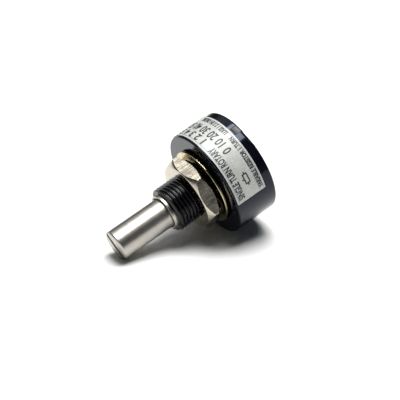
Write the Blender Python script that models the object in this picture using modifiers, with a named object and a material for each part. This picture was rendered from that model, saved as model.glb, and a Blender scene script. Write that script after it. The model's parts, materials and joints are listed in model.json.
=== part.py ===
"""Panel-mount rotary potentiometer, 22 mm body, as separate pieces in one assembly.

Z runs along the shaft towards its slotted tip. The origin is the centre of the rear cover's outer
face, so the part stands on its rear face. Lengths below are in millimetres, and angles in degrees
from +X towards +Y; the meshes are in metres.
"""

from math import cos, pi, radians, sin

import bmesh
import bpy
from mathutils import Matrix, Vector

MM = 0.001
STEPS_BODY = 64
STEPS_SMALL = 40
STEPS_HOLE = 12

# Body and neck
BODY_RADIUS = 11.1
BODY_LENGTH = 9.4
FRONT_EDGE = 0.3
REAR_EDGE = 0.6
NECK_LENGTH = 9.525
THREAD_RADIUS = 4.7625
THREAD_CHAMFER = 0.3
SPOT_RADIUS = 8.4
SPOT_DEPTH = 0.05
CAVITY_RADIUS = 9.0
REAR_BORE_RADIUS = 10.0
LEDGE_Z = 2.34
FRONT_WALL = 1.5

# Shaft and bearing
SHAFT_RADIUS = 3.175
SHAFT_REACH = 22.2
SLOT_WIDTH = 1.0
SLOT_DEPTH = 1.3
TIP_CHAMFER = 0.25
BEARING_RADIUS = 3.8
BEARING_CHAMFER = 0.15
BEARING_TAIL = 0.55
COLLAR_LENGTH = 0.75
RUNNING_GAP = 0.05
FIT_GAP = 0.02

# Hardware on the neck, measured from the mounting face
WASHER_RADIUS = 8.0
WASHER_RING_RADIUS = 6.2
WASHER_THICKNESS = 0.5
WASHER_LIFT = 0.33
TOOTH_COUNT = 14
TOOTH_WIDTH = 1.35
TOOTH_TWIST = 22
TOOTH_GAP = 0.15
TOOTH_ROOT = 0.2
NUT_ACROSS_FLATS = 14.0
NUT_THICKNESS = 3.0
NUT_LIFT = 1.6
NUT_ANGLE = -80
NUT_FACE_INSET = 0.1
NUT_FRONT_CHAMFER = 1.2
NUT_REAR_CHAMFER = 1.0
NUT_BORE_GAP = 0.06

# Rear cover, element and terminals
COVER_THICKNESS = 1.2
COVER_RIM_Z = 1.56
COVER_RIM_WIDTH = 1.15
COVER_INSET = 0.05
DISC_RADIUS = 9.4
DISC_Z = 1.6
DISC_THICKNESS = 0.7
DISC_BORE = 1.5
TRACK_Z = 2.32
TRACK_THICKNESS = 0.08
TRACK_RADII = (5.2, 6.8)
PAD_RADII = (5.0, 7.2)
COLLECTOR_RADII = (3.3, 4.5)
TRACK_HALF_GAP = 18
PAD_ANGLE = 12
TERMINAL_Z = 2.33
TERMINAL_THICKNESS = 0.4
TERMINAL_WIDTH = 1.6
TERMINAL_END = 15.6
TERMINAL_ANGLE = 75
TERMINAL_PITCH = 14
RIVET_AT = 8.1
RIVET_HOLE = 0.42
RIVET_SHANK = 0.38
TERMINAL_RIVET_HEAD = (0.65, 0.22)
WIPER_RIVET_HEAD = (0.75, 0.27)
BLOCK_HALF_ANGLE = 20
BLOCK_ROOT = 9.6
WINDOW_MARGIN = 0.7
WINDOW_TOP = 2.85
TAB_ANGLE = -62
TAB_WIDTH = 1.7
TAB_HEIGHT = 1.8
TAB_ROOT = 9.5
NOTCH_ROOT = 9.7
FLAT_ANGLE = -71
FLAT_DEPTH = 0.8

# Rotor
HUB_RADIUS = 7.0
HUB_Z = 3.6
HUB_THICKNESS = 1.8
HUB_CHAMFER = 0.2
SPIGOT_RADIUS = 2.4
GROOVE_RADIUS = 2.55
GROOVE_Z = 6.5
GROOVE_WIDTH = 0.5
CLIP_RADIUS = 4.9
CLIP_THICKNESS = 0.4
CLIP_HALF_ANGLE = 150
THRUST_RADIUS = 5.0
THRUST_THICKNESS = 0.3
WIPER_ANGLE = -105
WIPER_THICKNESS = 0.15
WIPER_INNER = 3.2
WIPER_WIDTH = 3.6
WIPER_RIVET_AT = (4.9, -1.3)
WIPER_LIFT = 0.03
FINGER_GAPS = ((4.9, 0.9), (3.82, 0.12), (6.02, 0.12))

# Label
LABEL_THICKNESS = 0.1
LABEL_GAP = 0.03
LABEL_WIDTH = 7.1
LABEL_FRONT = 0.3
LABEL_START = -129.5
LABEL_END = 35

FACE_Z = BODY_LENGTH
NECK_TOP = FACE_Z + NECK_LENGTH
TIP_Z = FACE_Z + SHAFT_REACH


def empty_scene():
    """Removes what the file starts with and makes the two collections."""
    for obj in list(bpy.data.objects):
        bpy.data.objects.remove(obj)
    groups = {}
    for name in ("rotary_potentiometer", "cutters"):
        groups[name] = bpy.data.collections.new(name)
        bpy.context.scene.collection.children.link(groups[name])
    return groups


def finish(name, color, roughness, metallic=0.0):
    """A plain Principled material."""
    material = bpy.data.materials.new(name)
    material.use_nodes = True
    shader = material.node_tree.nodes["Principled BSDF"]
    shader.inputs["Base Color"].default_value = (*color, 1)
    shader.inputs["Roughness"].default_value = roughness
    shader.inputs["Metallic"].default_value = metallic
    return material


def add_object(name, bm, material=None, z=0.0):
    """Puts a bmesh drawn in millimetres in the scene; without a material it is a cutter."""
    bmesh.ops.scale(bm, vec=(MM, MM, MM), verts=bm.verts)
    mesh = bpy.data.meshes.new(name)
    bm.to_mesh(mesh)
    bm.free()
    obj = bpy.data.objects.new(name, mesh)
    obj.location.z = z * MM
    if material:
        mesh.materials.append(material)
        GROUPS["rotary_potentiometer"].objects.link(obj)
    else:
        obj.hide_render = True
        obj.display_type = "WIRE"
        GROUPS["cutters"].objects.link(obj)
    return obj


def turned(name, profile, material=None, z=0.0, steps=STEPS_SMALL, closed=True):
    """A solid of revolution. The profile is (radius, height) down its outer side, top to bottom."""
    bm = bmesh.new()
    verts = [bm.verts.new((r, 0, h)) for r, h in profile]
    pairs = list(zip(verts, verts[1:]))
    if closed:
        pairs.append((verts[-1], verts[0]))
    for pair in pairs:
        bm.edges.new(pair)
    obj = add_object(name, bm, material, z)
    screw = obj.modifiers.new("turn", "SCREW")
    screw.steps = steps
    screw.render_steps = steps
    screw.use_merge_vertices = True
    screw.merge_threshold = 1e-6
    screw.use_smooth_shade = False
    return obj


def arc(center, radius, start, end, steps):
    """Points on an arc in a profile's plane."""
    angles = (radians(start + (end - start) * i / steps) for i in range(steps + 1))
    return [(center[0] + radius * cos(a), center[1] + radius * sin(a)) for a in angles]


def sector(name, radii, heights, angles, steps, material=None):
    """A ring segment with a rectangular section, spun about Z."""
    bm = bmesh.new()
    turn = Matrix.Rotation(radians(angles[0]), 3, "Z")
    corners = [(radii[0], heights[0]), (radii[1], heights[0]), (radii[1], heights[1]), (radii[0], heights[1])]
    start = bm.faces.new([bm.verts.new(turn @ Vector((r, 0, h))) for r, h in corners])
    sweep = radians(angles[1] - angles[0])
    bmesh.ops.spin(bm, geom=[start, *start.edges, *start.verts], axis=(0, 0, 1), cent=(0, 0, 0),
                   angle=sweep, steps=steps)
    bmesh.ops.recalc_face_normals(bm, faces=bm.faces)
    return add_object(name, bm, material)


def plate(name, outline, thickness, place, material=None):
    """A flat outline made into a plate, then put in place by a matrix."""
    bm = bmesh.new()
    face = bm.faces.new([bm.verts.new((x, y, 0)) for x, y in outline])
    made = bmesh.ops.extrude_face_region(bm, geom=[face])["geom"]
    top = [v for v in made if isinstance(v, bmesh.types.BMVert)]
    bmesh.ops.translate(bm, vec=(0, 0, thickness), verts=top)
    bmesh.ops.transform(bm, matrix=place, verts=bm.verts)
    bmesh.ops.recalc_face_normals(bm, faces=bm.faces)
    return add_object(name, bm, material)


def box(bm, size, place):
    """Adds a box to a bmesh, its size given before the matrix moves it."""
    made = bmesh.ops.create_cube(bm, size=1)["verts"]
    bmesh.ops.scale(bm, vec=size, verts=made)
    bmesh.ops.transform(bm, matrix=place, verts=made)


def rod(name, radius, low, high, place=(0, 0), steps=STEPS_HOLE):
    """A round cutter parallel to Z."""
    bm = bmesh.new()
    bmesh.ops.create_cone(bm, cap_ends=True, segments=steps, radius1=radius, radius2=radius,
                          depth=high - low, matrix=Matrix.Translation((*place, (low + high) / 2)))
    return add_object(name, bm)


def combine(obj, other, operation="DIFFERENCE"):
    """Adds an exact Boolean."""
    modifier = obj.modifiers.new(other.name, "BOOLEAN")
    modifier.operation = operation
    modifier.solver = "EXACT"
    modifier.object = other


def at_angle(angle, radius=0.0, z=0.0):
    """A frame whose X axis points outwards at this angle."""
    return Matrix.Rotation(radians(angle), 4, "Z") @ Matrix.Translation((radius, 0, z))


def terminal_angles():
    return [TERMINAL_ANGLE + TERMINAL_PITCH * i for i in (-1, 0, 1)]


def make_housing(plastic):
    """Cup, front wall with a shallow spot face, and neck in one moulding, open at the rear."""
    outside = [(BEARING_RADIUS + FIT_GAP, NECK_TOP), (THREAD_RADIUS - THREAD_CHAMFER, NECK_TOP)]
    outside += [(THREAD_RADIUS, NECK_TOP - THREAD_CHAMFER), (THREAD_RADIUS, FACE_Z - SPOT_DEPTH)]
    outside += [(SPOT_RADIUS, FACE_Z - SPOT_DEPTH), (SPOT_RADIUS, FACE_Z)]
    outside += arc((BODY_RADIUS - FRONT_EDGE, FACE_Z - FRONT_EDGE), FRONT_EDGE, 90, 0, 3)
    outside += arc((BODY_RADIUS - REAR_EDGE, REAR_EDGE), REAR_EDGE, 0, -90, 4)
    inside = [(REAR_BORE_RADIUS, 0), (REAR_BORE_RADIUS, LEDGE_Z), (CAVITY_RADIUS, LEDGE_Z)]
    inside += [(CAVITY_RADIUS, FACE_Z - FRONT_WALL), (BEARING_RADIUS + FIT_GAP, FACE_Z - FRONT_WALL)]
    housing = turned("housing", outside + inside, plastic, steps=STEPS_BODY)

    # Notch for the rear cover's locating tab
    notch = bmesh.new()
    width, height = TAB_WIDTH + 2 * RUNNING_GAP, TAB_HEIGHT + 2 * RUNNING_GAP
    reach = BODY_RADIUS - NOTCH_ROOT
    box(notch, (2 * reach, width, 2 * height), at_angle(TAB_ANGLE, NOTCH_ROOT + reach))
    combine(housing, add_object("tab_notch", notch))

    # Opening over the terminal block, tall enough for the lugs
    half = BLOCK_HALF_ANGLE + WINDOW_MARGIN
    window = (TERMINAL_ANGLE - half, TERMINAL_ANGLE + half)
    through = (CAVITY_RADIUS - 0.5, BODY_RADIUS + 1)
    combine(housing, sector("terminal_window", through, (-WINDOW_TOP, WINDOW_TOP), window, 12))

    # Orientation flat across the rear edge, sloping at 45 degrees
    size = (3, BODY_RADIUS, 6)
    slope = Matrix.Rotation(radians(45), 4, "Y") @ Matrix.Translation((size[0] / 2, 0, 0))
    flat = bmesh.new()
    box(flat, size, at_angle(FLAT_ANGLE, BODY_RADIUS - FLAT_DEPTH) @ slope)
    combine(housing, add_object("orientation_flat", flat))
    return housing


def make_cover(plastic):
    """Inset disc with a rim under the element disc, a locating tab and the terminal block."""
    outer = REAR_BORE_RADIUS - RUNNING_GAP
    rim = outer - COVER_RIM_WIDTH
    profile = [(rim, COVER_RIM_Z), (outer, COVER_RIM_Z), (outer, 0), (0, 0)]
    profile = [(0, COVER_THICKNESS), (rim, COVER_THICKNESS), *profile]
    cover = turned("rear_cover", profile, plastic, steps=STEPS_BODY, closed=False)
    tab = bmesh.new()
    reach = BODY_RADIUS - TAB_ROOT
    box(tab, (reach, TAB_WIDTH, TAB_HEIGHT), at_angle(TAB_ANGLE, TAB_ROOT + reach / 2, TAB_HEIGHT / 2))
    combine(cover, add_object("locating_tab", tab), "UNION")
    span = (TERMINAL_ANGLE - BLOCK_HALF_ANGLE, TERMINAL_ANGLE + BLOCK_HALF_ANGLE)
    block = sector("terminal_block", (BLOCK_ROOT, BODY_RADIUS), (0, TERMINAL_Z - RUNNING_GAP), span, 8)
    combine(cover, block, "UNION")

    # Both stay just inside the cup's outline, rounded rear edge included
    flush = BODY_RADIUS - COVER_INSET
    outline = [(0, LEDGE_Z), (flush, LEDGE_Z)]
    outline += [*arc((flush - REAR_EDGE, REAR_EDGE), REAR_EDGE, 0, -90, 4), (0, 0)]
    combine(cover, turned("cup_outline", outline, steps=STEPS_BODY, closed=False), "INTERSECT")
    return cover


def make_bearing(plated):
    """Sleeve through the front wall and the neck, with its collar standing out in front."""
    top = NECK_TOP + COLLAR_LENGTH
    bottom = FACE_Z - FRONT_WALL - BEARING_TAIL
    bore = SHAFT_RADIUS + RUNNING_GAP
    profile = [(bore, top), (BEARING_RADIUS - BEARING_CHAMFER, top), (BEARING_RADIUS, top - BEARING_CHAMFER)]
    profile += [(BEARING_RADIUS, bottom), (bore, bottom)]
    return turned("sleeve_bearing", profile, plated)


def make_shaft(steel):
    """Slotted round shaft with a clip groove and a reduced rear end for the hub."""
    profile = [(0, TIP_Z), (SHAFT_RADIUS - TIP_CHAMFER, TIP_Z), (SHAFT_RADIUS, TIP_Z - TIP_CHAMFER)]
    profile += [(SHAFT_RADIUS, GROOVE_Z + GROOVE_WIDTH), (GROOVE_RADIUS, GROOVE_Z + GROOVE_WIDTH)]
    profile += [(GROOVE_RADIUS, GROOVE_Z), (SHAFT_RADIUS, GROOVE_Z)]
    shoulder = HUB_Z + HUB_THICKNESS + FIT_GAP
    end = HUB_Z + 2 * RUNNING_GAP
    profile += [(SHAFT_RADIUS, shoulder), (SPIGOT_RADIUS, shoulder), (SPIGOT_RADIUS, end), (0, end)]
    shaft = turned("shaft", profile, steel, closed=False)
    slot = bmesh.new()
    box(slot, (3 * SHAFT_RADIUS, SLOT_WIDTH, 2 * SLOT_DEPTH), Matrix.Translation((0, 0, TIP_Z)))
    combine(shaft, add_object("screwdriver_slot", slot))
    return shaft


def make_washer(steel):
    """Flat ring with twisted teeth inside it, held just clear of the mounting face."""
    low = FACE_Z + WASHER_LIFT
    high = low + WASHER_THICKNESS
    hole = WASHER_RING_RADIUS
    ring = [(hole, high), (WASHER_RADIUS, high), (WASHER_RADIUS, low), (hole, low)]
    washer = turned("lock_washer", ring, steel, steps=STEPS_BODY)
    teeth = bmesh.new()
    inner = THREAD_RADIUS + TOOTH_GAP
    length = WASHER_RING_RADIUS + TOOTH_ROOT - inner
    for i in range(TOOTH_COUNT):
        place = at_angle(360 * (i + 0.5) / TOOTH_COUNT, inner + length / 2, (low + high) / 2)
        twist = Matrix.Rotation(radians(TOOTH_TWIST), 4, "X")
        box(teeth, (length, TOOTH_WIDTH, WASHER_THICKNESS * 0.9), place @ twist)
    combine(washer, add_object("washer_teeth", teeth), "UNION")
    return washer


def make_nut(plated):
    """Hex prism with both faces chamfered by a turned blank."""
    corner = NUT_ACROSS_FLATS / 2 / cos(pi / 6)
    low = FACE_Z + NUT_LIFT
    bm = bmesh.new()
    place = at_angle(NUT_ANGLE) @ Matrix.Translation((0, 0, low + NUT_THICKNESS / 2))
    bmesh.ops.create_cone(bm, cap_ends=True, segments=6, radius1=corner, radius2=corner,
                          depth=NUT_THICKNESS, matrix=place)
    nut = add_object("mounting_nut", bm, plated)
    top = low + NUT_THICKNESS
    flat = NUT_ACROSS_FLATS / 2 - NUT_FACE_INSET
    blank = [(0, top), (flat, top), (corner, top - NUT_FRONT_CHAMFER), (corner, low + NUT_REAR_CHAMFER)]
    blank += [(flat, low), (0, low)]
    combine(nut, turned("nut_blank", blank, steps=STEPS_BODY, closed=False), "INTERSECT")
    combine(nut, rod("nut_bore", THREAD_RADIUS + NUT_BORE_GAP, low - 1, top + 1, steps=STEPS_SMALL))
    return nut


def make_label(film):
    """Wrap-round label that leaves the mounting edge and the rear band bare."""
    inner = BODY_RADIUS + LABEL_GAP
    radii = (inner, inner + LABEL_THICKNESS)
    top = FACE_Z - LABEL_FRONT
    return sector("label", radii, (top - LABEL_WIDTH, top), (LABEL_START, LABEL_END), 56, film)


def make_rotor(plastic, steel, spring, brass):
    """Hub, clip, thrust washer and wiper, all turning with the shaft."""
    top = HUB_Z + HUB_THICKNESS
    bore = SPIGOT_RADIUS + FIT_GAP
    hub = [(bore, top), (HUB_RADIUS - HUB_CHAMFER, top), (HUB_RADIUS, top - HUB_CHAMFER)]
    hub = turned("rotor_hub", [*hub, (HUB_RADIUS, HUB_Z), (bore, HUB_Z)], plastic)
    rivet_spot = at_angle(WIPER_ANGLE) @ Matrix.Translation((*WIPER_RIVET_AT, 0))
    spot = tuple(rivet_spot.translation)[:2]
    combine(hub, rod("hub_rivet_hole", RIVET_HOLE, HUB_Z - 1, top + 1, spot))

    low = GROOVE_Z + RUNNING_GAP
    sector("retaining_ring", (GROOVE_RADIUS + FIT_GAP, CLIP_RADIUS), (low, low + CLIP_THICKNESS),
           (TERMINAL_ANGLE - CLIP_HALF_ANGLE, TERMINAL_ANGLE + CLIP_HALF_ANGLE), 30, spring)
    low = GROOVE_Z + GROOVE_WIDTH + FIT_GAP
    inner = SHAFT_RADIUS + RUNNING_GAP
    washer = [(inner, THRUST_THICKNESS), (THRUST_RADIUS, THRUST_THICKNESS), (THRUST_RADIUS, 0), (inner, 0)]
    turned("thrust_washer", washer, steel, z=low)

    # Sprung strip: flat under the hub, then down to the tracks and up again at its tips
    under = HUB_Z - FIT_GAP
    run = TRACK_Z + TRACK_THICKNESS + WIPER_LIFT
    upper = [(-2.2, under), (0.4, under), (2.4, run + WIPER_THICKNESS), (2.9, run + WIPER_THICKNESS + 0.12)]
    lower = [(x, h - WIPER_THICKNESS) for x, h in reversed(upper)]
    upright = Matrix.Rotation(radians(90), 4, "X")
    across = Matrix.Rotation(radians(90), 4, "Z") @ upright
    place = at_angle(WIPER_ANGLE, WIPER_INNER) @ across
    wiper = plate("wiper_contact", upper + lower, WIPER_WIDTH, place, spring)
    gaps = bmesh.new()
    for radius, size in FINGER_GAPS:
        box(gaps, (size, 2.6, 3), at_angle(WIPER_ANGLE, radius, HUB_Z) @ Matrix.Translation((0, 1.9, 0)))
    combine(wiper, add_object("wiper_gaps", gaps))
    combine(wiper, rod("wiper_rivet_hole", RIVET_HOLE, DISC_Z, HUB_Z + 1, spot))
    make_rivet("wiper_rivet", WIPER_RIVET_HEAD, under - WIPER_THICKNESS - FIT_GAP, top + FIT_GAP, spot, brass)


def make_rivet(name, head, low, top, spot, brass):
    """Shank with a round head at each end, clamping what lies between the two heights."""
    radius, height = head
    profile = [(0, top + height), (radius, top + height), (radius, top), (RIVET_SHANK, top)]
    profile += [(RIVET_SHANK, low), (radius, low), (radius, low - height), (0, low - height)]
    rivet = turned(name, profile, brass, steps=16, closed=False)
    rivet.location.xy = Vector(spot) * MM


def make_element(board, carbon, silver):
    """Insulating disc with the resistive arc, its two silver ends and the collector ring."""
    top = DISC_THICKNESS
    ring = [(DISC_BORE, top), (DISC_RADIUS, top), (DISC_RADIUS, 0), (DISC_BORE, 0)]
    disc = turned("element_disc", ring, board, z=DISC_Z, steps=STEPS_BODY)
    for i, angle in enumerate(terminal_angles(), 1):
        spot = tuple(at_angle(angle, RIVET_AT).translation)[:2]
        combine(disc, rod(f"disc_hole_{i}", RIVET_HOLE, 0, HUB_Z, spot))

    layer = (TRACK_Z, TRACK_Z + TRACK_THICKNESS)
    first = TERMINAL_ANGLE + TRACK_HALF_GAP
    last = TERMINAL_ANGLE + 360 - TRACK_HALF_GAP
    sector("resistive_track", TRACK_RADII, layer, (first, last), 54, carbon)
    sector("track_pad_1", PAD_RADII, layer, (first - PAD_ANGLE, first - 0.3), 4, silver)
    sector("track_pad_2", PAD_RADII, layer, (last + 0.3, last + PAD_ANGLE), 4, silver)
    inner, outer = COLLECTOR_RADII
    ring = [(inner, TRACK_THICKNESS), (outer, TRACK_THICKNESS), (outer, 0), (inner, 0)]
    turned("collector_track", ring, silver, z=TRACK_Z)


def make_terminals(tinned, brass):
    """Three flat lugs with a round eyed end, each riveted to the element disc."""
    half = TERMINAL_WIDTH / 2
    inner = RIVET_AT - half + 0.1
    outline = [(inner, -half), *arc((TERMINAL_END - half, 0), half, -90, 90, 8), (inner, half)]
    for i, angle in enumerate(terminal_angles(), 1):
        place = at_angle(angle, 0, TERMINAL_Z)
        lug = plate(f"terminal_{i}", outline, TERMINAL_THICKNESS, place, tinned)
        for use, radius in (("rivet", RIVET_AT), ("wire", TERMINAL_END - half)):
            spot = tuple(at_angle(angle, radius).translation)[:2]
            combine(lug, rod(f"{use}_hole_{i}", RIVET_HOLE, 0, HUB_Z, spot))
        spot = tuple(at_angle(angle, RIVET_AT).translation)[:2]
        top = TERMINAL_Z + TERMINAL_THICKNESS + FIT_GAP
        make_rivet(f"terminal_rivet_{i}", TERMINAL_RIVET_HEAD, DISC_Z - FIT_GAP, top, spot, brass)


def make_part():
    plastic = finish("black_plastic", (0.012, 0.013, 0.016), 0.2)
    steel = finish("stainless_steel", (0.62, 0.6, 0.57), 0.25, 1.0)
    plated = finish("nickel_plate", (0.66, 0.63, 0.56), 0.25, 1.0)
    tinned = finish("tinned_brass", (0.72, 0.71, 0.68), 0.35, 1.0)
    brass = finish("brass", (0.72, 0.55, 0.27), 0.3, 1.0)
    spring = finish("spring_alloy", (0.7, 0.6, 0.42), 0.3, 1.0)
    silver = finish("silver_ink", (0.75, 0.75, 0.73), 0.45, 0.8)
    make_housing(plastic)
    make_cover(plastic)
    make_label(finish("label_film", (0.72, 0.72, 0.7), 0.5))
    make_bearing(plated)
    make_shaft(steel)
    make_washer(plated)
    make_nut(plated)
    make_rotor(finish("hub_plastic", (0.09, 0.06, 0.04), 0.5), steel, spring, brass)
    board = finish("board", (0.2, 0.13, 0.07), 0.5)
    make_element(board, finish("carbon_film", (0.02, 0.02, 0.02), 0.4), silver)
    make_terminals(tinned, brass)


GROUPS = empty_scene()
make_part()
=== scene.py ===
import json
from math import atan2, cos, hypot, pi, radians, sin

import bmesh
import bpy
from mathutils import Matrix, Vector


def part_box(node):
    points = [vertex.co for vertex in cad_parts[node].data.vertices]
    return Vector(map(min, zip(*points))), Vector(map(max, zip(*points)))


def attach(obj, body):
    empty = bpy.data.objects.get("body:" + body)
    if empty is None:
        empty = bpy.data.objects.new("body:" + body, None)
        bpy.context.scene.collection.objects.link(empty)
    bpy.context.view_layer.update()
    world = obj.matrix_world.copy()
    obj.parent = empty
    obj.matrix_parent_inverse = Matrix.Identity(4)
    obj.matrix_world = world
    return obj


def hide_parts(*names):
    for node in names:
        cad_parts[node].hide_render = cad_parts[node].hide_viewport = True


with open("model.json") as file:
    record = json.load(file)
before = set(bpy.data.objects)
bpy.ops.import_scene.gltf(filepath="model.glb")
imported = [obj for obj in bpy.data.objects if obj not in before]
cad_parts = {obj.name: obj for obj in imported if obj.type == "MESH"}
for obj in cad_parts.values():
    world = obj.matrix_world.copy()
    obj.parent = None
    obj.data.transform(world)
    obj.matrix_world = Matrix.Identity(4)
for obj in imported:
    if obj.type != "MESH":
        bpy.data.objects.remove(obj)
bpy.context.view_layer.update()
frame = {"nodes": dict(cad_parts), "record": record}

# Panel-mount rotary potentiometer lying on a white table on its shaft tip and its front rim.
# Meshes are drawn in millimetres and scaled to metres when they become pieces.
mm = 0.001
nodes = frame["nodes"]
mounts = {mount["name"]: mount for mount in frame["record"]["mounts"]}


def span(node):  # lowest and highest corner of a CAD node, in millimetres
    low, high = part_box(node)
    return Vector(low) / mm, Vector(high) / mm


# what the frame gives
bodyRadius = span("housing")[1].x
neckTop = span("housing")[1].z
faceZ = mounts["panel_face"]["pos_m"][2] / mm
shaftRadius = span("shaft")[1].x
tipZ = span("shaft")[1].z
collarRadius = span("sleeve_bearing")[1].x
collarTop = span("sleeve_bearing")[1].z
nutLow, nutTop = (corner.z for corner in span("mounting_nut"))
washerRadius = span("lock_washer")[1].x
washerMiddle = sum(corner.z for corner in span("lock_washer")) / 2
labelRadius = -span("label")[0].y
labelLow, labelTop = (corner.z for corner in span("label"))
lugLow, lugTop = (corner.z for corner in span("terminal_2"))


def arc(center, radius, start, end, steps=6):  # points on an arc in a profile's plane
    angles = [radians(start + (end - start) * i / steps) for i in range(steps + 1)]
    return [(center[0] + radius * cos(a), center[1] + radius * sin(a)) for a in angles]


def turned(profile, steps=128, closed=True, sweep=360, start=0):  # (radius, height) points, spun about Z
    bm = bmesh.new()
    verts = [bm.verts.new((r, 0, h)) for r, h in profile]
    edges = [bm.edges.new(pair) for pair in zip(verts, verts[1:])]
    if closed:
        edges.append(bm.edges.new((verts[-1], verts[0])))
    section = []
    if sweep < 360:
        section = [bm.faces.new(verts)]
    bmesh.ops.rotate(bm, cent=(0, 0, 0), matrix=Matrix.Rotation(radians(start), 3, "Z"), verts=verts)
    bmesh.ops.spin(bm, geom=verts + edges + section, cent=(0, 0, 0), axis=(0, 0, 1),
                   angle=radians(sweep), steps=steps, use_merge=sweep == 360)
    bmesh.ops.remove_doubles(bm, verts=bm.verts, dist=1e-4)
    bmesh.ops.recalc_face_normals(bm, faces=bm.faces)
    return bm


def block(size, place, edge=0.0):  # a box, its edges rounded if an edge radius is given
    bm = bmesh.new()
    bmesh.ops.create_cube(bm, size=1)
    bmesh.ops.scale(bm, vec=size, verts=bm.verts)
    if edge:
        bmesh.ops.bevel(bm, geom=bm.edges[:], offset=edge, affect="EDGES", segments=2, profile=0.5,
                        material=-1)
    bmesh.ops.transform(bm, matrix=place, verts=bm.verts)
    return bm


def rod(radius, low, high, place=(0, 0), steps=32):  # an upright round bar
    bm = bmesh.new()
    bmesh.ops.create_cone(bm, cap_ends=True, segments=steps, radius1=radius, radius2=radius,
                          depth=high - low, matrix=Matrix.Translation((*place, (low + high) / 2)))
    return bm


def joined(*shapes):  # several bmeshes made one, each keeping its own closed shell
    bm = bmesh.new()
    for shape in shapes:
        mesh = bpy.data.meshes.new("shape")
        shape.to_mesh(mesh)
        shape.free()
        bm.from_mesh(mesh)
        bpy.data.meshes.remove(mesh)
    return bm


def ordered(bm):  # puts elements in order of place, because the Boolean's order differs from run to run
    for elements, key in ((bm.verts, lambda vert: tuple(round(value, 4) for value in vert.co)),
                          (bm.edges, lambda edge: sorted(vert.index for vert in edge.verts)),
                          (bm.faces, lambda face: sorted(vert.index for vert in face.verts))):
        ranks = {element: rank for rank, element in enumerate(sorted(elements, key=key))}
        elements.sort(key=ranks.get)
        elements.index_update()
    return bm


def carved(bm, cutter, operation="DIFFERENCE"):  # an exact Boolean of two bmeshes
    pair = []
    for shape in (bm, cutter):
        mesh = bpy.data.meshes.new("shape")
        shape.to_mesh(mesh)
        shape.free()
        pair.append(bpy.data.objects.new("shape", mesh))
        bpy.context.scene.collection.objects.link(pair[-1])
    modifier = pair[0].modifiers.new("carve", "BOOLEAN")
    modifier.operation = operation
    modifier.solver = "EXACT"
    modifier.object = pair[1]
    result = bmesh.new()
    result.from_object(pair[0], bpy.context.evaluated_depsgraph_get())
    for obj in pair:
        mesh = obj.data
        bpy.data.objects.remove(obj)
        bpy.data.meshes.remove(mesh)
    return ordered(result)


def softened(bm, width, angle=40, keep=lambda edge: True):  # rounds the edges sharper than an angle
    bmesh.ops.remove_doubles(bm, verts=bm.verts, dist=1e-3)
    bmesh.ops.dissolve_degenerate(bm, edges=bm.edges, dist=1e-3)
    sharp = [e for e in bm.edges if e.is_manifold and e.calc_face_angle(0) > radians(angle) and keep(e)]
    bmesh.ops.bevel(bm, geom=sharp, offset=width, affect="EDGES", segments=2, profile=0.5,
                    material=-1, clamp_overlap=True)
    return bm


def atAngle(angle, radius=0.0, z=0.0):  # a frame whose X axis points outwards at this angle
    return Matrix.Rotation(radians(angle), 4, "Z") @ Matrix.Translation((radius, 0, z))


def piece(name, bm, material, body, slot, *replaced):  # a finished object at the origin, on its body
    bmesh.ops.scale(bm, vec=(mm, mm, mm), verts=bm.verts)
    mesh = bpy.data.meshes.new(name)
    bm.to_mesh(mesh)
    bm.free()
    mesh.shade_smooth()
    mesh.set_sharp_from_angle(angle=radians(32))
    mesh.materials.append(material)
    obj = bpy.data.objects.new(name, mesh)
    bpy.context.scene.collection.objects.link(obj)
    flatter = obj.modifiers.new("flatter", "WEIGHTED_NORMAL")  # big faces stay flat beside their soft edges
    flatter.keep_sharp = True
    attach(obj, body)
    if replaced:
        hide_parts(*replaced)
    return obj


def hexColor(text):  # sRGB hex to linear RGBA
    channels = [int(text[i:i + 2], 16) / 255 for i in (1, 3, 5)]
    return (*[c / 12.92 if c <= 0.04045 else ((c + 0.055) / 1.055) ** 2.4 for c in channels], 1)


def grey(value):
    return (value, value, value, 1)


def addNode(tree, kind, inputs=None, stops=(), **settings):  # adds a node with its settings and links
    node = tree.nodes.new("ShaderNode" + kind)
    for key, value in settings.items():
        setattr(node, key, value)
    for key, value in (inputs or {}).items():
        if isinstance(value, bpy.types.NodeSocket):
            tree.links.new(value, node.inputs[key])
        else:
            node.inputs[key].default_value = value
    for i, (position, color) in enumerate(stops):
        element = node.color_ramp.elements[i] if i < 2 else node.color_ramp.elements.new(position)
        element.position = position
        element.color = color
    return node


def newMaterial(name, **shader):  # a Principled material and its object coordinates in millimetres
    material = bpy.data.materials.new(name)
    material.use_nodes = True
    tree = material.node_tree
    principled = tree.nodes["Principled BSDF"]
    for key, value in shader.items():
        principled.inputs[key].default_value = value
    coords = addNode(tree, "TexCoord").outputs["Object"]
    place = addNode(tree, "Mapping", {"Vector": coords, "Scale": (1 / mm,) * 3})
    return material, tree, principled, place.outputs[0]


def marksOverClouds(tree, place, marks, clouds, share=0.5, stretch=(1, 1, 1)):
    # fine marks over soft clouds, in cycles per millimetre; a small stretch draws the marks out that way
    drawn = addNode(tree, "Mapping", {"Vector": place, "Scale": stretch})
    fine = addNode(tree, "TexNoise", {"Vector": drawn.outputs[0], "Scale": marks, "Detail": 3})
    soft = addNode(tree, "TexNoise", {"Vector": place, "Scale": clouds, "Detail": 4})
    return addNode(tree, "Mix", {0: share, 2: soft.outputs[0], 3: fine.outputs[0]}).outputs[0]


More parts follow.
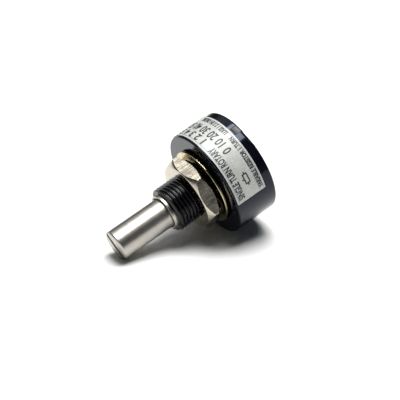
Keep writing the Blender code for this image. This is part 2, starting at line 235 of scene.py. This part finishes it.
def toolMarks(tree, place, radial, axial, share=0.5):
    # rings about the part's axis, on faces by their distance from it and on sides by their height along it
    flat = addNode(tree, "VectorMath", {0: place, 1: (1, 1, 0)}, operation="MULTIPLY")
    distance = addNode(tree, "VectorMath", {0: flat.outputs[0]}, operation="LENGTH").outputs["Value"]
    height = addNode(tree, "SeparateXYZ", {0: place}).outputs[2]
    faces = addNode(tree, "TexNoise", {"W": distance, "Scale": radial}, noise_dimensions="1D")
    sides = addNode(tree, "TexNoise", {"W": height, "Scale": axial}, noise_dimensions="1D")
    rings = addNode(tree, "Mix", {0: 0.5, 2: faces.outputs[0], 3: sides.outputs[0]})
    soft = addNode(tree, "TexNoise", {"Vector": place, "Scale": 0.7, "Detail": 4})
    return addNode(tree, "Mix", {0: share, 2: soft.outputs[0], 3: rings.outputs[0]}).outputs[0]


def drive(tree, shader, pattern, colors, roughness, relief, ends=(0.34, 0.68)):
    # one pattern gives the surface its colour, its gloss and a relief of this many millimetres
    tones = addNode(tree, "ValToRGB", {0: pattern}, list(zip(ends, map(hexColor, colors))))
    polish = addNode(tree, "ValToRGB", {0: pattern}, list(zip(ends, map(grey, roughness))))
    bump = addNode(tree, "Bump", {"Height": pattern, "Strength": 1.0, "Distance": relief * mm})
    for key, node in (("Base Color", tones), ("Roughness", polish), ("Normal", bump)):
        tree.links.new(node.outputs[0], shader.inputs[key])


def glossyPbt():  # black glass-filled PBT off a polished tool: deep blue-black gloss with faint flow clouds
    sheen = {"Specular IOR Level": 0.3, "Specular Tint": hexColor("#dbe6ff")}
    material, tree, shader, place = newMaterial("glossyBlackPbt", **sheen)
    pattern = marksOverClouds(tree, place, 1.1, 0.3)
    drive(tree, shader, pattern, ("#04050a", "#0a0c14"), (0.06, 0.14), 0.004)
    return material


def erodedPbt(name, colors, roughness):  # the same compound off a spark-eroded tool: an even fine grain
    material, tree, shader, place = newMaterial(name, **{"Specular IOR Level": 0.35})
    pattern = marksOverClouds(tree, place, 9, 0.5, 0.75)  # 0.1 mm erosion grain
    drive(tree, shader, pattern, colors, roughness, 0.008)
    return material


def groundSteel():  # stainless steel, centreless ground: fine rings round the bar under a soft gloss
    material, tree, shader, place = newMaterial("groundStainlessSteel", Metallic=1.0)
    pattern = toolMarks(tree, place, 10, 14, 0.8)  # grinding marks, drawn 0.07 mm apart so that they show
    drive(tree, shader, pattern, ("#9b968f", "#c2beb6"), (0.3, 0.4), 0.0006)
    return material


def drawnNickel(name, colors, roughness):  # bright nickel over drawn bar: warm gloss, lines along the flats
    material, tree, shader, place = newMaterial(name, Metallic=1.0)
    pattern = marksOverClouds(tree, place, 5, 0.8, 0.6, (1, 1, 0.04))  # 0.2 mm draw lines, long in Z
    drive(tree, shader, pattern, colors, roughness, 0.006)
    return material


def turnedNickel():  # nickel over turned brass: tool rings about the axis and a soft gloss
    material, tree, shader, place = newMaterial("turnedNickelPlate", Metallic=1.0)
    drive(tree, shader, toolMarks(tree, place, 9, 7), ("#9c988e", "#bfbbb0"), (0.26, 0.4), 0.003)
    return material


def metalFilm():  # silver-white metallised polyester label: satin, with a fine speckle
    material, tree, shader, place = newMaterial("metallisedPolyester", Metallic=0.1)
    pattern = marksOverClouds(tree, place, 5.5, 0.4, 0.75)  # metal flake, drawn 0.2 mm so that it shows
    drive(tree, shader, pattern, ("#9d9f9b", "#cdcec8"), (0.4, 0.55), 0.003, (0.3, 0.72))
    return material


def resinInk(name, colors):  # thermal transfer print: flat half-matt ink with a slightly uneven density
    material, tree, shader, place = newMaterial(name)
    drive(tree, shader, marksOverClouds(tree, place, 6, 1.5), colors, (0.4, 0.58), 0.001)
    return material


def rolledSheet(name, colors, roughness, clouds=1.2):  # rolled sheet: long rolling marks and dull clouds
    material, tree, shader, place = newMaterial(name, Metallic=1.0)
    pattern = marksOverClouds(tree, place, 7, clouds, 0.4, (0.15, 1, 1))
    drive(tree, shader, pattern, colors, roughness, 0.004)
    return material


def pressedFiller(name, colors, roughness, grain):  # filled resins and printed layers: a fine dull grain
    material, tree, shader, place = newMaterial(name)
    drive(tree, shader, marksOverClouds(tree, place, grain, grain / 5, 0.6), colors, roughness, 0.004)
    return material


gloss = glossyPbt()
coverPbt = erodedPbt("satinBlackPbt", ("#08090d", "#12141a"), (0.26, 0.4))
threadPbt = erodedPbt("threadBlackPbt", ("#030407", "#07080c"), (0.16, 0.26))
steel = groundSteel()
nutNickel = drawnNickel("brightNickelPlate", ("#a39c8e", "#cdc5b4"), (0.12, 0.28))
washerNickel = drawnNickel("yellowedNickelPlate", ("#a89c78", "#d3c8a6"), (0.1, 0.22))
collarNickel = turnedNickel()
film = metalFilm()
ink = resinInk("blueBlackResinInk", ("#10111c", "#232536"))
paleInk = resinInk("greyResinInk", ("#5c5d63", "#7b7c80"))
tinned = rolledSheet("hotTinnedBrass", ("#a9a69c", "#d6d4cc"), (0.22, 0.42))
brass = rolledSheet("rivetBrass", ("#b3945a", "#d9bd7c"), (0.2, 0.34))
print("materials done")


threadSettings = dict(radius=4.7625, pitch=0.79375, depth=0.47, crestFlat=0.05, rootFlat=0.12,
                      crestRound=0.045, stepsPerTurn=80)


def threadTube(crest, low, high, wall, leads=(0.0, 0.0)):
    # a right-hand helical surface closed against a plain wall, inside it for a bolt or outside it for a nut
    pitch, depth = threadSettings["pitch"], threadSettings["depth"]
    crestHalf, rootHalf = threadSettings["crestFlat"] / 2, threadSettings["rootFlat"] / 2
    root = crest - depth
    corner = threadSettings["crestRound"]
    shoulder = 0.5 - crestHalf
    profile = [(root, 0), (root, rootHalf), (crest - corner, shoulder - corner), (crest, shoulder)]
    profile += [(r, 1 - along) for r, along in reversed(profile)]
    bm = bmesh.new()
    spare = 2  # turns past each end, cut off below
    turns = int((high - low) / pitch) + 2 * spare
    start = low - spare * pitch
    verts = [bm.verts.new((r, 0, start + along * pitch)) for r, along in profile]
    edges = [bm.edges.new(pair) for pair in zip(verts, verts[1:])]
    steps = threadSettings["stepsPerTurn"]
    bmesh.ops.spin(bm, geom=verts + edges, cent=(0, 0, 0), axis=(0, 0, 1), dvec=(0, 0, pitch / steps),
                   angle=2 * pi * turns, steps=turns * steps)
    bmesh.ops.remove_doubles(bm, verts=bm.verts, dist=1e-3)
    loops = []
    for z, side in ((high, "clear_outer"), (low, "clear_inner")):
        cut = bmesh.ops.bisect_plane(bm, geom=bm.verts[:] + bm.edges[:] + bm.faces[:], dist=1e-4,
                                     plane_co=(0, 0, z), plane_no=(0, 0, 1), **{side: True})["geom_cut"]
        loops.append([e for e in cut if isinstance(e, bmesh.types.BMEdge)])
    for vert in bm.verts:  # lead chamfers at the top and the bottom
        radius = hypot(vert.co.x, vert.co.y)
        limit = radius
        for lead, reach in zip(leads, (high - vert.co.z, vert.co.z - low)):
            if wall < root:
                limit = min(limit, crest - max(lead - reach, 0))
            else:
                limit = max(limit, root + max(lead - reach, 0))
        vert.co.xy *= limit / radius
    ends = []
    for loop in loops:
        made = bmesh.ops.extrude_edge_only(bm, edges=loop)["geom"]
        for vert in (v for v in made if isinstance(v, bmesh.types.BMVert)):
            vert.co.xy *= wall / hypot(vert.co.x, vert.co.y)
        ends += [e for e in made if isinstance(e, bmesh.types.BMEdge)]
    bmesh.ops.bridge_loops(bm, edges=[e for e in ends if e.is_boundary])
    bmesh.ops.recalc_face_normals(bm, faces=bm.faces)
    return bm


housingSettings = dict(frontEdge=0.3, rearEdge=0.6, rearBore=10.0, ledge=2.34, cavity=9.0, frontWall=1.5,
                       bore=0.02, lead=0.3, steps=180, softEdge=0.07, softTop=3, softRoot=9.9, coreGap=0.1,
                       neckRise=0.1, margin=1, flatBlock=(3, 6),
                       notchAngle=-62, notchWidth=1.8, notchHeight=1.9, notchRoot=9.7, flatAngle=-71,
                       flatDepth=0.8, blockAngle=75, blockHalf=20, windowHalf=20.7, windowTop=2.85)


def makeHousing():
    s = housingSettings
    neckRadius = threadSettings["radius"]
    core = neckRadius - threadSettings["depth"] - s["coreGap"]  # the cup closes inside the thread's roots
    outside = [(core, faceZ)]
    outside += arc((bodyRadius - s["frontEdge"], faceZ - s["frontEdge"]), s["frontEdge"], 90, 0)
    outside += arc((bodyRadius - s["rearEdge"], s["rearEdge"]), s["rearEdge"], 0, -90, 8)
    inside = [(s["rearBore"], 0), (s["rearBore"], s["ledge"]), (s["cavity"], s["ledge"])]
    inside += [(s["cavity"], faceZ - s["frontWall"]), (core, faceZ - s["frontWall"])]
    cup = turned(outside + inside, s["steps"])
    reach = bodyRadius - s["notchRoot"]
    cup = carved(cup, block((2 * reach, s["notchWidth"], 2 * s["notchHeight"]),
                            atAngle(s["notchAngle"], s["notchRoot"] + reach)))
    margin = s["margin"]
    low, high, near, far = -margin, s["windowTop"], s["cavity"] - margin / 2, bodyRadius + margin
    opening = turned([(near, low), (far, low), (far, high), (near, high)], 40,
                     sweep=2 * s["windowHalf"], start=s["blockAngle"] - s["windowHalf"])
    cup = carved(cup, opening)
    thick, tall = s["flatBlock"]
    slope = Matrix.Rotation(radians(45), 4, "Y") @ Matrix.Translation((thick / 2, 0, 0))
    place = atAngle(s["flatAngle"], bodyRadius - s["flatDepth"]) @ slope
    cup = carved(cup, block((thick, bodyRadius, tall), place))
    cup = softened(cup, s["softEdge"], keep=lambda e: e.verts[0].co.z < s["softTop"]
                   and e.verts[0].co.xy.length > s["softRoot"])
    low = faceZ - s["frontWall"] + s["neckRise"]
    neck = threadTube(neckRadius, low, neckTop, collarRadius + s["bore"], (s["lead"], 0))
    piece("housing_shell", cup, gloss, "root", "housing", "housing")
    piece("threaded_neck", neck, threadPbt, "root", "housing")


makeHousing()
print("housing done")


coverSettings = dict(gap=0.05, edge=0.15, thickness=1.2, rim=8.8, rimTop=1.56, tabWidth=1.7, tabHeight=1.8,
                     tabRoot=9.5, blockRoot=9.6, ring=(8.2, 8.7), ringDepth=0.12, gate=1.3, gateDepth=0.15,
                     softEdge=0.06)


def makeCover():
    s, h = coverSettings, housingSettings
    outer, flush, edge = h["rearBore"] - s["gap"], bodyRadius - s["gap"], s["edge"]
    profile = [(0, s["thickness"]), (s["rim"], s["thickness"])]
    profile += [(s["rim"], s["rimTop"]), (outer, s["rimTop"])]
    profile += arc((outer - edge, edge), edge, 0, -90, 3)
    (low, high), depth = s["ring"], s["ringDepth"]  # a shallow moulded ring and the gate's dimple
    profile += [(high, 0), (high - depth, depth), (low + depth, depth), (low, 0)]
    profile += [(s["gate"], 0), (s["gate"] - 0.1, s["gateDepth"]), (0, s["gateDepth"])]
    cover = turned(profile, h["steps"], closed=False)
    reach = flush - s["tabRoot"]
    tab = block((reach, s["tabWidth"], s["tabHeight"]),
                atAngle(h["notchAngle"], s["tabRoot"] + reach / 2, s["tabHeight"] / 2))
    near, top = s["blockRoot"], lugLow - s["gap"]
    ridge = turned([(near, 0), (flush, 0), (flush, top), (near, top)], 24,
                   sweep=2 * h["blockHalf"], start=h["blockAngle"] - h["blockHalf"])
    cover = carved(carved(cover, tab, "UNION"), ridge, "UNION")
    corner = h["rearEdge"]
    envelope = [(0, 4), (flush, 4), *arc((flush - corner, corner), corner, 0, -90, 8), (0, 0)]
    cover = carved(cover, turned(envelope, h["steps"], closed=False), "INTERSECT")
    cover = softened(cover, s["softEdge"], keep=lambda e: e.verts[0].co.xy.length > s["blockRoot"])
    piece("rear_cover_disc", cover, coverPbt, "root", "rear_cover", "rear_cover")


makeCover()
print("rear cover done")


bearingSettings = dict(gap=0.06, low=7.35, edge=0.1, mouth=0.2, mouthDepth=0.5, undercut=0.08,
                       undercutTop=(0.16, 0.1), undercutFoot=0.05, steps=128)
shaftSettings = dict(slotWidth=1.0, slotDepth=1.3, tipChamfer=0.28, softEdge=0.03, groove=(2.55, 6.5, 7.0),
                     shoulder=5.42, spigot=(2.4, 3.7), spigotEdge=0.15, inset=(0.004, 0.002),
                     slotCut=10, steps=144)


def makeBearing():
    s = bearingSettings
    bore, edge, neck = shaftRadius + s["gap"], s["edge"], collarRadius - s["undercut"]
    mouth = shaftRadius + s["mouth"]
    profile = [(bore, s["low"]), (bore, collarTop - s["mouthDepth"]), (mouth, collarTop - s["mouthDepth"])]
    profile += [(mouth, collarTop - edge / 2), (mouth + edge / 2, collarTop)]
    profile += arc((collarRadius - edge, collarTop - edge), edge, 90, 0, 4)
    upper, lower = s["undercutTop"]
    profile += [(collarRadius, neckTop + upper), (neck, neckTop + lower), (neck, neckTop)]
    profile += [(collarRadius, neckTop - s["undercutFoot"]), (collarRadius, s["low"])]
    piece("bearing_sleeve", turned(profile, s["steps"]), collarNickel, "root", "bearing", "sleeve_bearing")


def makeShaft():
    s = shaftSettings
    radius, top = shaftRadius - s["inset"][0], tipZ - s["inset"][1]
    chamfer, soft = s["tipChamfer"], s["softEdge"]
    profile = [(0, top), (radius - chamfer - soft, top), (radius - chamfer, top - soft / 3)]
    profile += [(radius - soft / 2, top - chamfer + soft / 3), (radius, top - chamfer - soft)]
    floor, low, high = s["groove"]
    profile += [(radius, high), (floor, high), (floor, low), (radius, low)]
    (spigot, end), edge = s["spigot"], s["spigotEdge"]
    profile += [(radius, s["shoulder"]), (spigot, s["shoulder"]), (spigot, end + edge), (spigot - edge, end)]
    profile += [(0, end)]
    shaft = turned(profile, s["steps"], closed=False)
    slot = (s["slotCut"], s["slotWidth"], 2 * s["slotDepth"])
    shaft = carved(shaft, block(slot, Matrix.Translation((0, 0, tipZ))))
    shaft = softened(shaft, soft, keep=lambda e: min(v.co.z for v in e.verts) > tipZ - s["slotDepth"] - 0.1
                     and all(abs(abs(v.co.y) - s["slotWidth"] / 2) < 0.01 for v in e.verts))
    piece("shaft_rod", shaft, steel, "rotor", "shaft", "shaft")


makeBearing()
makeShaft()
print("shaft done")


washerSettings = dict(ring=6.2, thickness=0.5, edge=0.12, teeth=14, width=1.35, inner=4.92, twist=22,
                      softEdge=0.05, inset=0.003, toothRoot=0.3, toothShare=0.86, twistReach=1.6, taper=0.2)
nutSettings = dict(acrossFlats=14.0, angle=-80, frontChamfer=1.2, rearChamfer=1.0, faceInset=0.1, bore=5.0,
                   countersink=0.35, edge=0.06, threadGap=0.06, past=0.1, boreClear=0.2, threadInset=0.01,
                   threadWall=0.05)


def makeWasher():
    s = washerSettings
    low, high = washerMiddle - s["thickness"] / 2, washerMiddle + s["thickness"] / 2
    edge, outer, hole = s["edge"], washerRadius - s["inset"], s["ring"]
    near, far, under, over = hole + edge, outer - edge, low + edge, high - edge
    profile = arc((near, under), edge, 270, 180, 3) + arc((near, over), edge, 180, 90, 3)
    profile += arc((far, over), edge, 90, 0, 4) + arc((far, under), edge, 0, -90, 4)
    shapes = [turned(profile, 160)]
    length = s["ring"] + s["toothRoot"] - s["inner"]
    for i in range(s["teeth"]):
        tooth = bmesh.new()
        bmesh.ops.create_cube(tooth, size=1)
        bmesh.ops.scale(tooth, vec=(length, s["width"], s["thickness"] * s["toothShare"]), verts=tooth.verts)
        long = [e for e in tooth.edges if abs(e.verts[0].co.x - e.verts[1].co.x) > length / 2]
        bmesh.ops.subdivide_edges(tooth, edges=long, cuts=5, use_grid_fill=True)
        for vert in tooth.verts:  # the tooth turns out of the ring's plane towards its tip
            share = min((length / 2 - vert.co.x) / length * s["twistReach"], 1)
            vert.co = Matrix.Rotation(radians(s["twist"] * share), 3, "X") @ vert.co
            vert.co.y *= 1 - s["taper"] * share
        tooth = softened(tooth, s["softEdge"], angle=50)
        place = atAngle(360 * (i + 0.5) / s["teeth"], s["inner"] + length / 2, washerMiddle)
        bmesh.ops.transform(tooth, matrix=place, verts=tooth.verts)
        shapes.append(tooth)
    piece("toothed_washer", joined(*shapes), washerNickel, "washer", "washer", "lock_washer")


def makeNut():
    s = nutSettings
    flat = s["acrossFlats"] / 2
    corner, face = flat / cos(pi / 6), flat - s["faceInset"]
    slope = s["frontChamfer"] / (corner - face)  # the chamfers run on a little past the corners
    beyond = corner + s["past"]
    profile = [(s["bore"], nutTop), (face, nutTop), (beyond, nutTop - slope * (beyond - face))]
    slope = s["rearChamfer"] / (corner - face)
    profile += [(beyond, nutLow + slope * (beyond - face)), (face, nutLow), (s["bore"], nutLow)]
    nut = turned(profile, 216)
    for i in range(6):
        normal = atAngle(s["angle"] + 30 + 60 * i).to_3x3() @ Vector((1, 0, 0))
        cut = bmesh.ops.bisect_plane(nut, geom=nut.verts[:] + nut.edges[:] + nut.faces[:], dist=1e-4,
                                     plane_co=normal * flat, plane_no=normal, clear_outer=True)["geom_cut"]
        bmesh.ops.edgeloop_fill(nut, edges=[e for e in cut if isinstance(e, bmesh.types.BMEdge)])
    nut = softened(nut, s["edge"], angle=20,
                   keep=lambda e: e.verts[0].co.xy.length > s["bore"] + s["boreClear"])
    sink, inset = s["countersink"], s["threadInset"]
    crest = threadSettings["radius"] + s["threadGap"]
    thread = threadTube(crest, nutLow + inset, nutTop - inset, s["bore"] + s["threadWall"], (sink, sink))
    piece("hex_nut", joined(nut, thread), nutNickel, "nut", "nut", "mounting_nut")


makeWasher()
makeNut()
print("washer and nut done")


labelSettings = dict(start=-129.5, end=35, skew=0.3, lift=0.02, inset=0.02, border=0.42, borderWidth=0.1,
                     borderEnd=1.2, inkLift=0.015, inkRoot=0.02, bold=0.06, capShare=0.7, bend=0.4,
                     symbolAngle=-109, symbolBelow=3.75, stroke=0.26)
labelRows = [  # text, capital height, first angle, last angle, baseline below the label's front edge
    ("SINGLE TURN ROTARY", 1.4, -126, -64, 1.95),
    ("1 2 3 4 5 6 7 8 9", 1.6, -55, 28, 2.15),
    ("0 10 20 30 40 50 60 70 80", 1.9, -78, 30, 4.5),
    ("VARIABLE RESISTOR 1 TURN", 0.95, -126, -66, 6.3),
    ("LUGS 1 2 3 IN ORDER", 0.95, -60, -18, 6.3),
]


def lettering(text, capital, width):  # flat letters from the origin, drawn to this height and width
    curve = bpy.data.curves.new("letters", "FONT")
    curve.body = text
    curve.size = capital / labelSettings["capShare"]
    curve.offset = labelSettings["bold"]
    curve.resolution_u = 3
    obj = bpy.data.objects.new("letters", curve)
    bpy.context.scene.collection.objects.link(obj)
    mesh = bpy.data.meshes.new_from_object(obj.evaluated_get(bpy.context.evaluated_depsgraph_get()))
    bm = bmesh.new()
    bm.from_mesh(mesh)
    bpy.data.objects.remove(obj)
    bpy.data.curves.remove(curve)
    bpy.data.meshes.remove(mesh)
    bmesh.ops.remove_doubles(bm, verts=bm.verts, dist=1e-4)
    bmesh.ops.scale(bm, vec=(width / max(v.co.x for v in bm.verts), 1, 1), verts=bm.verts)
    return bm


def wrapped(bm, radius, angle, height):  # flat letters, cut into narrow strips and bent round the body
    s = labelSettings
    for i in range(-4, int(max(v.co.x for v in bm.verts) / s["bend"]) + 1):
        bmesh.ops.bisect_plane(bm, geom=bm.verts[:] + bm.edges[:] + bm.faces[:], dist=1e-4,
                               plane_co=(i * s["bend"], 0, 0), plane_no=(1, 0, 0))
    for vert in bm.verts:
        turn = radians(angle) + vert.co.x / radius
        share = (turn - radians(s["start"])) / radians(s["end"] - s["start"])
        vert.co = Vector((radius * cos(turn), radius * sin(turn), height + vert.co.y - s["skew"] * share))
    return bm


def bandOn(radii, heights, angles):  # a thin strip round the body that follows the label's slight skew
    (near, far), (low, high) = radii, heights
    section = [(near, low), (far, low), (far, high), (near, high)]
    bm = turned(section, 120, sweep=angles[1] - angles[0], start=angles[0])
    s = labelSettings
    for vert in bm.verts:
        share = (atan2(vert.co.y, vert.co.x) - radians(s["start"])) / radians(s["end"] - s["start"])
        vert.co.z -= s["skew"] * share
    return bm


def symbolBars(stroke):  # a resistor's sign: a box between two leads, with the wiper's lead above
    half, rise, lead = 0.95, 0.45, 0.5
    level = [((2 * half + stroke, stroke), (0, side * rise)) for side in (-1, 1)]
    upright = [((stroke, 2 * rise), (side * half, 0)) for side in (-1, 1)]
    leads = [((lead, stroke), (side * (half + lead / 2), 0)) for side in (-1, 1)]
    return level + upright + leads + [((stroke, lead), (0, rise + lead / 2))]


def makeLabel():
    s = labelSettings
    inner, outer = bodyRadius + s["lift"], labelRadius - s["inset"]
    low, high = labelLow + s["skew"], labelTop
    sheet = bandOn((inner, outer), (low, high), (s["start"], s["end"]))
    piece("label_film", sheet, film, "root", "label", "label")
    top, root = outer + s["inkLift"], outer - s["inkRoot"]
    borders = []
    for edge in (high - s["border"], low + s["border"]):
        heights = (edge - s["borderWidth"] / 2, edge + s["borderWidth"] / 2)
        angles = (s["start"] + s["borderEnd"], s["end"] - s["borderEnd"])
        borders.append(bandOn((root, top - s["inkLift"] / 2), heights, angles))
    piece("label_borders", joined(*borders), paleInk, "root", "label")
    rows = []
    for text, capital, first, last, below in labelRows:
        letters = lettering(text, capital, radians(last - first) * top)
        rows.append(wrapped(letters, top, first, high - below))
    for size, at in symbolBars(s["stroke"]):
        bar = bmesh.new()
        bmesh.ops.create_grid(bar, x_segments=2, y_segments=2, size=0.5)
        bmesh.ops.scale(bar, vec=(*size, 1), verts=bar.verts)
        bmesh.ops.translate(bar, vec=(*at, 0), verts=bar.verts)
        rows.append(wrapped(bar, top, s["symbolAngle"], high - s["symbolBelow"]))
    letters = joined(*rows)
    bmesh.ops.recalc_face_normals(letters, faces=letters.faces)
    made = bmesh.ops.extrude_face_region(letters, geom=letters.faces[:])["geom"]
    for vert in (v for v in made if isinstance(v, bmesh.types.BMVert)):
        vert.co.xy *= root / top
    bmesh.ops.recalc_face_normals(letters, faces=letters.faces)
    piece("label_print", letters, ink, "root", "label")


makeLabel()
print("label done")


lugSettings = dict(width=1.6, inner=7.4, end=15.6, pitch=14, edge=0.05, hole=0.45, rivetAt=8.1)


def makeLugs():
    s = lugSettings
    half = s["width"] / 2
    eye = s["end"] - half
    outline = [(s["inner"], -half), *arc((eye, 0), half, -90, 90, 24), (s["inner"], half)]
    for i, step in enumerate((-1, 0, 1), 1):
        lug = bmesh.new()
        face = lug.faces.new([lug.verts.new((x, y, lugLow)) for x, y in outline])
        made = bmesh.ops.extrude_face_region(lug, geom=[face])["geom"]
        top = [v for v in made if isinstance(v, bmesh.types.BMVert)]
        bmesh.ops.translate(lug, vec=(0, 0, lugTop - lugLow), verts=top)
        bmesh.ops.recalc_face_normals(lug, faces=lug.faces)
        for spot in (eye, s["rivetAt"]):
            lug = carved(lug, rod(s["hole"], lugLow - 1, lugTop + 1, (spot, 0)))
        lug = softened(lug, s["edge"])
        place = atAngle(housingSettings["blockAngle"] + s["pitch"] * step)
        bmesh.ops.transform(lug, matrix=place, verts=lug.verts)
        piece(f"solder_lug_{i}", lug, tinned, "root", "terminal", f"terminal_{i}")


makeLugs()
print("lugs done")


def dress(material, *names):  # the sealed inner pieces keep their CAD shapes
    for name in names:
        slots = nodes[name].data.materials
        slots.clear()
        slots.append(material)


dress(rolledSheet("springSteel", ("#6f6b65", "#9a968f"), (0.25, 0.4)), "retaining_ring")
dress(rolledSheet("stainlessSheet", ("#9b9790", "#c2bfb8"), (0.2, 0.35)), "thrust_washer")
dress(pressedFiller("brownPhenolic", ("#3a2617", "#5a3c26"), (0.4, 0.6), 4), "rotor_hub")
dress(rolledSheet("phosphorBronze", ("#a9844f", "#d3ad76"), (0.2, 0.34)), "wiper_contact")
dress(brass, "wiper_rivet", "terminal_rivet_1", "terminal_rivet_2", "terminal_rivet_3")
dress(pressedFiller("paperLaminate", ("#563c22", "#7a5a36"), (0.4, 0.62), 3), "element_disc")
dress(pressedFiller("conductivePlastic", ("#0e0e10", "#1d1d1f"), (0.3, 0.5), 6), "resistive_track")
silver = rolledSheet("silverInk", ("#a3a29c", "#cfcfca"), (0.4, 0.6), 4)
dress(silver, "collector_track", "track_pad_1", "track_pad_2")
print("inner pieces done")


stage = dict(restAngle=140.6, tipTouch=(0.01, 0.25), rimTouch=(0.02, 0.3), gap=0.04,
             tableHalf=1.5, table=("#f0f0ee", "#f6f6f5"))
view = dict(tilt=18.35, roll=124.82, distance=350, aimRight=0.888, aimUp=3.046, lens=159.6, sensor=36)
lights = dict(softboxSize=0.42, softboxHeight=0.6, softboxPower=6.4, lean=8, leanTowards=138,
              glowLean=30, glowTowards=-148, glow=0.8, glowEnds=(0.8, 0.98),
              roomLow="#6a6e73", roomHigh="#2e3238", roomFade=0.3)


def tableFrame():  # the table touches the shaft's tip edge and the front rim on one side
    outwards = Vector((cos(radians(stage["restAngle"])), sin(radians(stage["restAngle"])), 0))
    (tipIn, tipDown), (rimIn, rimDown) = stage["tipTouch"], stage["rimTouch"]
    tip = outwards * (shaftRadius - tipIn) + Vector((0, 0, tipZ - tipDown))
    rim = outwards * (bodyRadius - rimIn) + Vector((0, 0, faceZ - rimDown))
    along = (rim - tip).normalized()
    sideways = Vector((0, 0, 1)).cross(outwards)
    up = along.cross(sideways)
    if up.dot(outwards) > 0:
        up = -up
    return rim * mm - up * stage["gap"] * mm, up.normalized()


def makeTable(point, up):
    bm = bmesh.new()
    bmesh.ops.create_grid(bm, x_segments=4, y_segments=4, size=stage["tableHalf"])
    tilt = up.to_track_quat("Z", "Y").to_matrix().to_4x4()
    bmesh.ops.transform(bm, matrix=Matrix.Translation(point) @ tilt, verts=bm.verts)
    mesh = bpy.data.meshes.new("table")
    bm.to_mesh(mesh)
    bm.free()
    material, tree, shader, place = newMaterial("whiteCard", **{"Specular IOR Level": 0.1})
    drive(tree, shader, marksOverClouds(tree, place, 2, 0.05, 0.3), stage["table"], (0.85, 0.95), 0.001)
    clear = addNode(tree, "BsdfTransparent").outputs[0]
    behind = addNode(tree, "NewGeometry").outputs["Backfacing"]
    mix = addNode(tree, "MixShader", {0: behind, 1: shader.outputs[0], 2: clear})
    tree.links.new(mix.outputs[0], tree.nodes["Material Output"].inputs[0])
    mesh.materials.append(material)
    table = bpy.data.objects.new("table", mesh)
    bpy.context.scene.collection.objects.link(table)


def makeCamera():
    lie = Matrix.Rotation(radians(90 - view["tilt"]), 4, "X")
    turnBy = lie @ Matrix.Rotation(radians(-view["roll"]), 4, "Z")
    right, up, back = (turnBy.to_3x3().col[i] for i in range(3))
    spot = Vector((0, 0, faceZ)) - right * view["aimRight"] - up * view["aimUp"] + back * view["distance"]
    data = bpy.data.cameras.new("camera")
    data.lens = view["lens"]
    data.sensor_width = view["sensor"]
    data.clip_start = 0.01
    camera = bpy.data.objects.new("camera", data)
    camera.matrix_world = Matrix.Translation(spot * mm) @ turnBy
    bpy.context.scene.collection.objects.link(camera)
    bpy.context.scene.camera = camera
    return back


def leaning(up, front, lean, towards):  # a direction off the vertical, its bearing from the camera
    aside = Matrix.Rotation(radians(towards), 3, up) @ front
    return up * cos(radians(lean)) + aside * sin(radians(lean))


def makeLights(up, back):
    # the softbox hangs overhead, a little back and to the right, and a pale wall glows at the back left
    front = (back - up * back.dot(up)).normalized()
    middle = Vector((0, 0, faceZ * mm))
    spot = middle + leaning(up, front, lights["lean"], lights["leanTowards"]) * lights["softboxHeight"]
    data = bpy.data.lights.new("softbox", "AREA")
    data.shape = "RECTANGLE"
    data.size = data.size_y = lights["softboxSize"]
    data.energy = lights["softboxPower"]
    box = bpy.data.objects.new("softbox", data)
    facing = (spot - middle).to_track_quat("Z", "Y").to_matrix().to_4x4()
    box.matrix_world = Matrix.Translation(spot) @ facing
    box.visible_camera = False
    bpy.context.scene.collection.objects.link(box)

    world = bpy.data.worlds.new("studio")
    bpy.context.scene.world = world
    world.use_nodes = True
    tree = world.node_tree
    glowing = leaning(up, front, lights["glowLean"], lights["glowTowards"])
    coords = addNode(tree, "TexCoord").outputs["Generated"]
    height = addNode(tree, "VectorMath", {0: coords, 1: up}, operation="DOT_PRODUCT")
    walls = addNode(tree, "ValToRGB", {0: height.outputs["Value"]},
                    [(0.0, hexColor(lights["roomLow"])), (lights["roomFade"], hexColor(lights["roomHigh"]))])
    nearness = addNode(tree, "VectorMath", {0: coords, 1: glowing}, operation="DOT_PRODUCT")
    glowStops = list(zip(lights["glowEnds"], map(grey, (0, 1))))
    glow = addNode(tree, "ValToRGB", {0: nearness.outputs["Value"]}, glowStops)
    shades = {0: glow.outputs[0], 6: walls.outputs[0], 7: grey(lights["glow"])}
    room = addNode(tree, "Mix", shades, data_type="RGBA")
    seen = addNode(tree, "LightPath").outputs["Is Camera Ray"]
    mix = addNode(tree, "Mix", {0: seen, 6: room.outputs[2], 7: grey(1)}, data_type="RGBA")
    tree.links.new(mix.outputs[2], tree.nodes["Background"].inputs[0])


tablePoint, tableUp = tableFrame()
makeTable(tablePoint, tableUp)
makeLights(tableUp, makeCamera())
bpy.context.scene.view_settings.view_transform = "Standard"
print("stage done")
